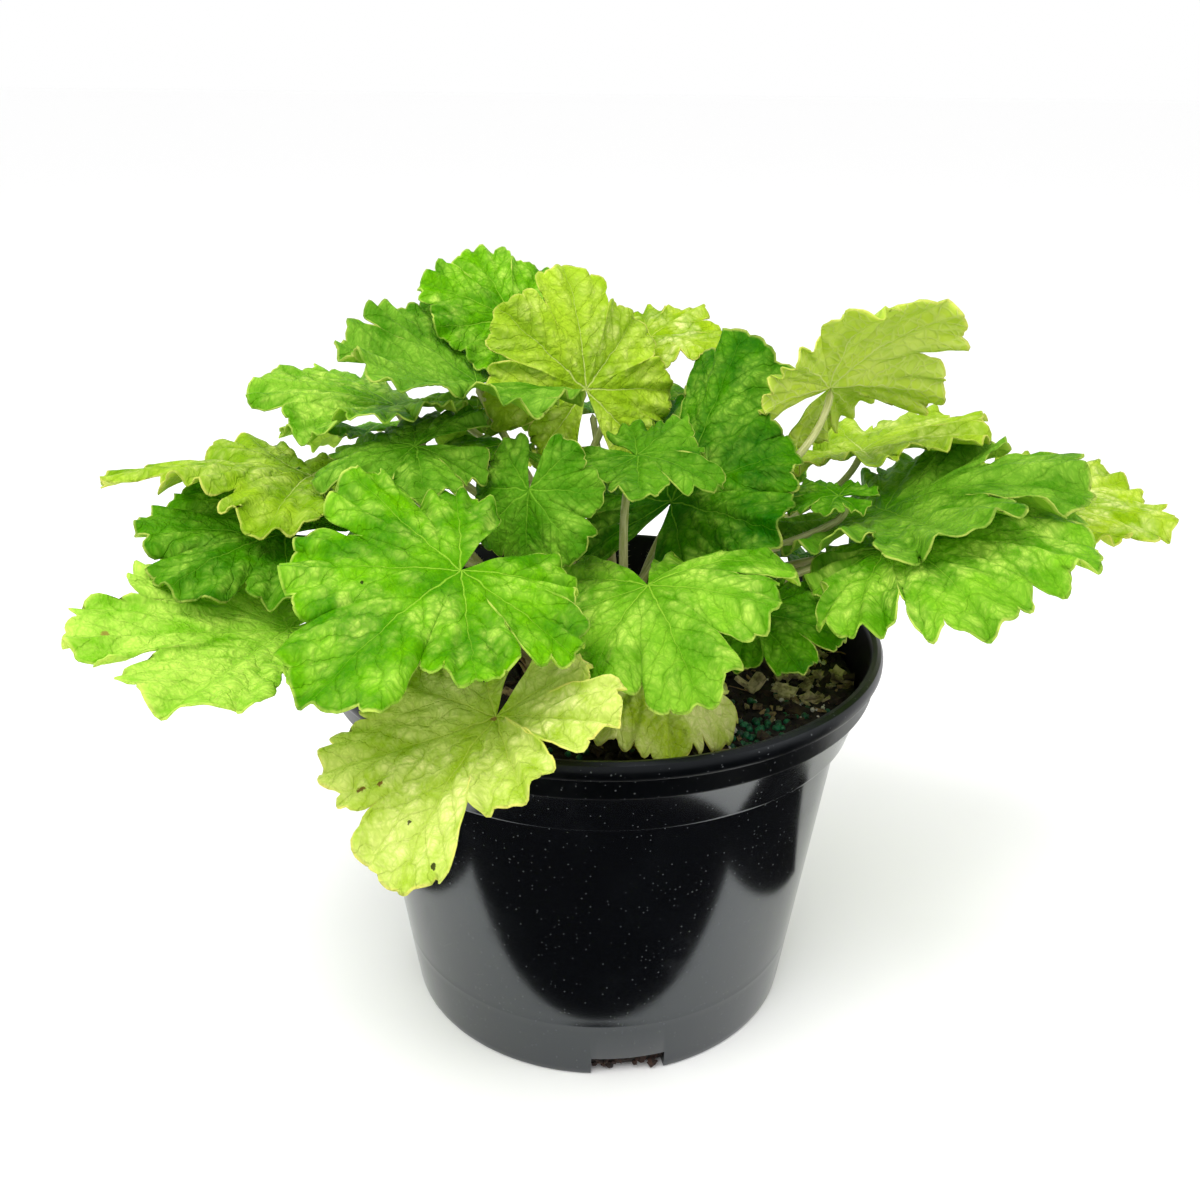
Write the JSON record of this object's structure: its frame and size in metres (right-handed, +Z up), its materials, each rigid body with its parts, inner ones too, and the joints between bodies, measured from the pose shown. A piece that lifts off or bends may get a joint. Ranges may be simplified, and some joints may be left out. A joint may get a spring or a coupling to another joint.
{
  "type": "potted heuchera plant",
  "caption": "Heuchera, a perennial with a dome of lobed, ruffled lime-green leaves on slender stalks, in a black plastic nursery pot of bark compost.",
  "frame": {"origin": "centre of the pot's flat underside, at floor level", "axes": "+Z up along the pot's axis; -Y towards the side on which the front leaves hang over the rim; +X to the right of that side"},
  "size_m": [0.3823, 0.279, 0.2646],
  "materials": {
    "pot_plastic": "satin",
    "compost": "matte",
    "crown_wood": "matte",
    "leaf_lime": "satin",
    "leaf_green": "satin",
    "leaf_gold": "satin",
    "leaf_pale": "satin"
  },
  "bodies": {
    "root": {"pot": "pot_plastic", "soil": "compost", "crown": "crown_wood", "leaf_front_left": "leaf_lime", "leaf_over_rim": "leaf_gold", "leaf_front_right": "leaf_lime", "leaf_in_pot_front": "leaf_gold", "leaf_in_pot_right": "leaf_green", "leaf_left_low": "leaf_lime", "leaf_left_mid": "leaf_green", "leaf_left_far": "leaf_pale", "leaf_left_top": "leaf_lime", "leaf_left_curled": "leaf_green", "leaf_centre_small": "leaf_green", "leaf_top_left_big": "leaf_green", "leaf_top_left_back": "leaf_lime", "leaf_top_back_turned": "leaf_pale", "leaf_top_right_edge": "leaf_gold", "leaf_right_centre": "leaf_green", "leaf_centre_right_small": "leaf_green", "leaf_right_top": "leaf_pale", "leaf_right_back": "leaf_pale", "leaf_right_big": "leaf_lime", "leaf_right_upper": "leaf_green", "leaf_right_far": "leaf_gold", "leaf_right_tiny": "leaf_green", "leaf_mid_left_small": "leaf_lime", "leaf_mid_left_low": "leaf_green", "leaf_back_middle": "leaf_green", "leaf_back_right": "leaf_lime", "leaf_back_left": "leaf_green", "leaf_back_far_left": "leaf_lime", "leaf_back_low_left": "leaf_gold", "leaf_back_low_right": "leaf_green", "leaf_left_under": "leaf_green", "leaf_right_under": "leaf_green"}
  },
  "joints": []
}
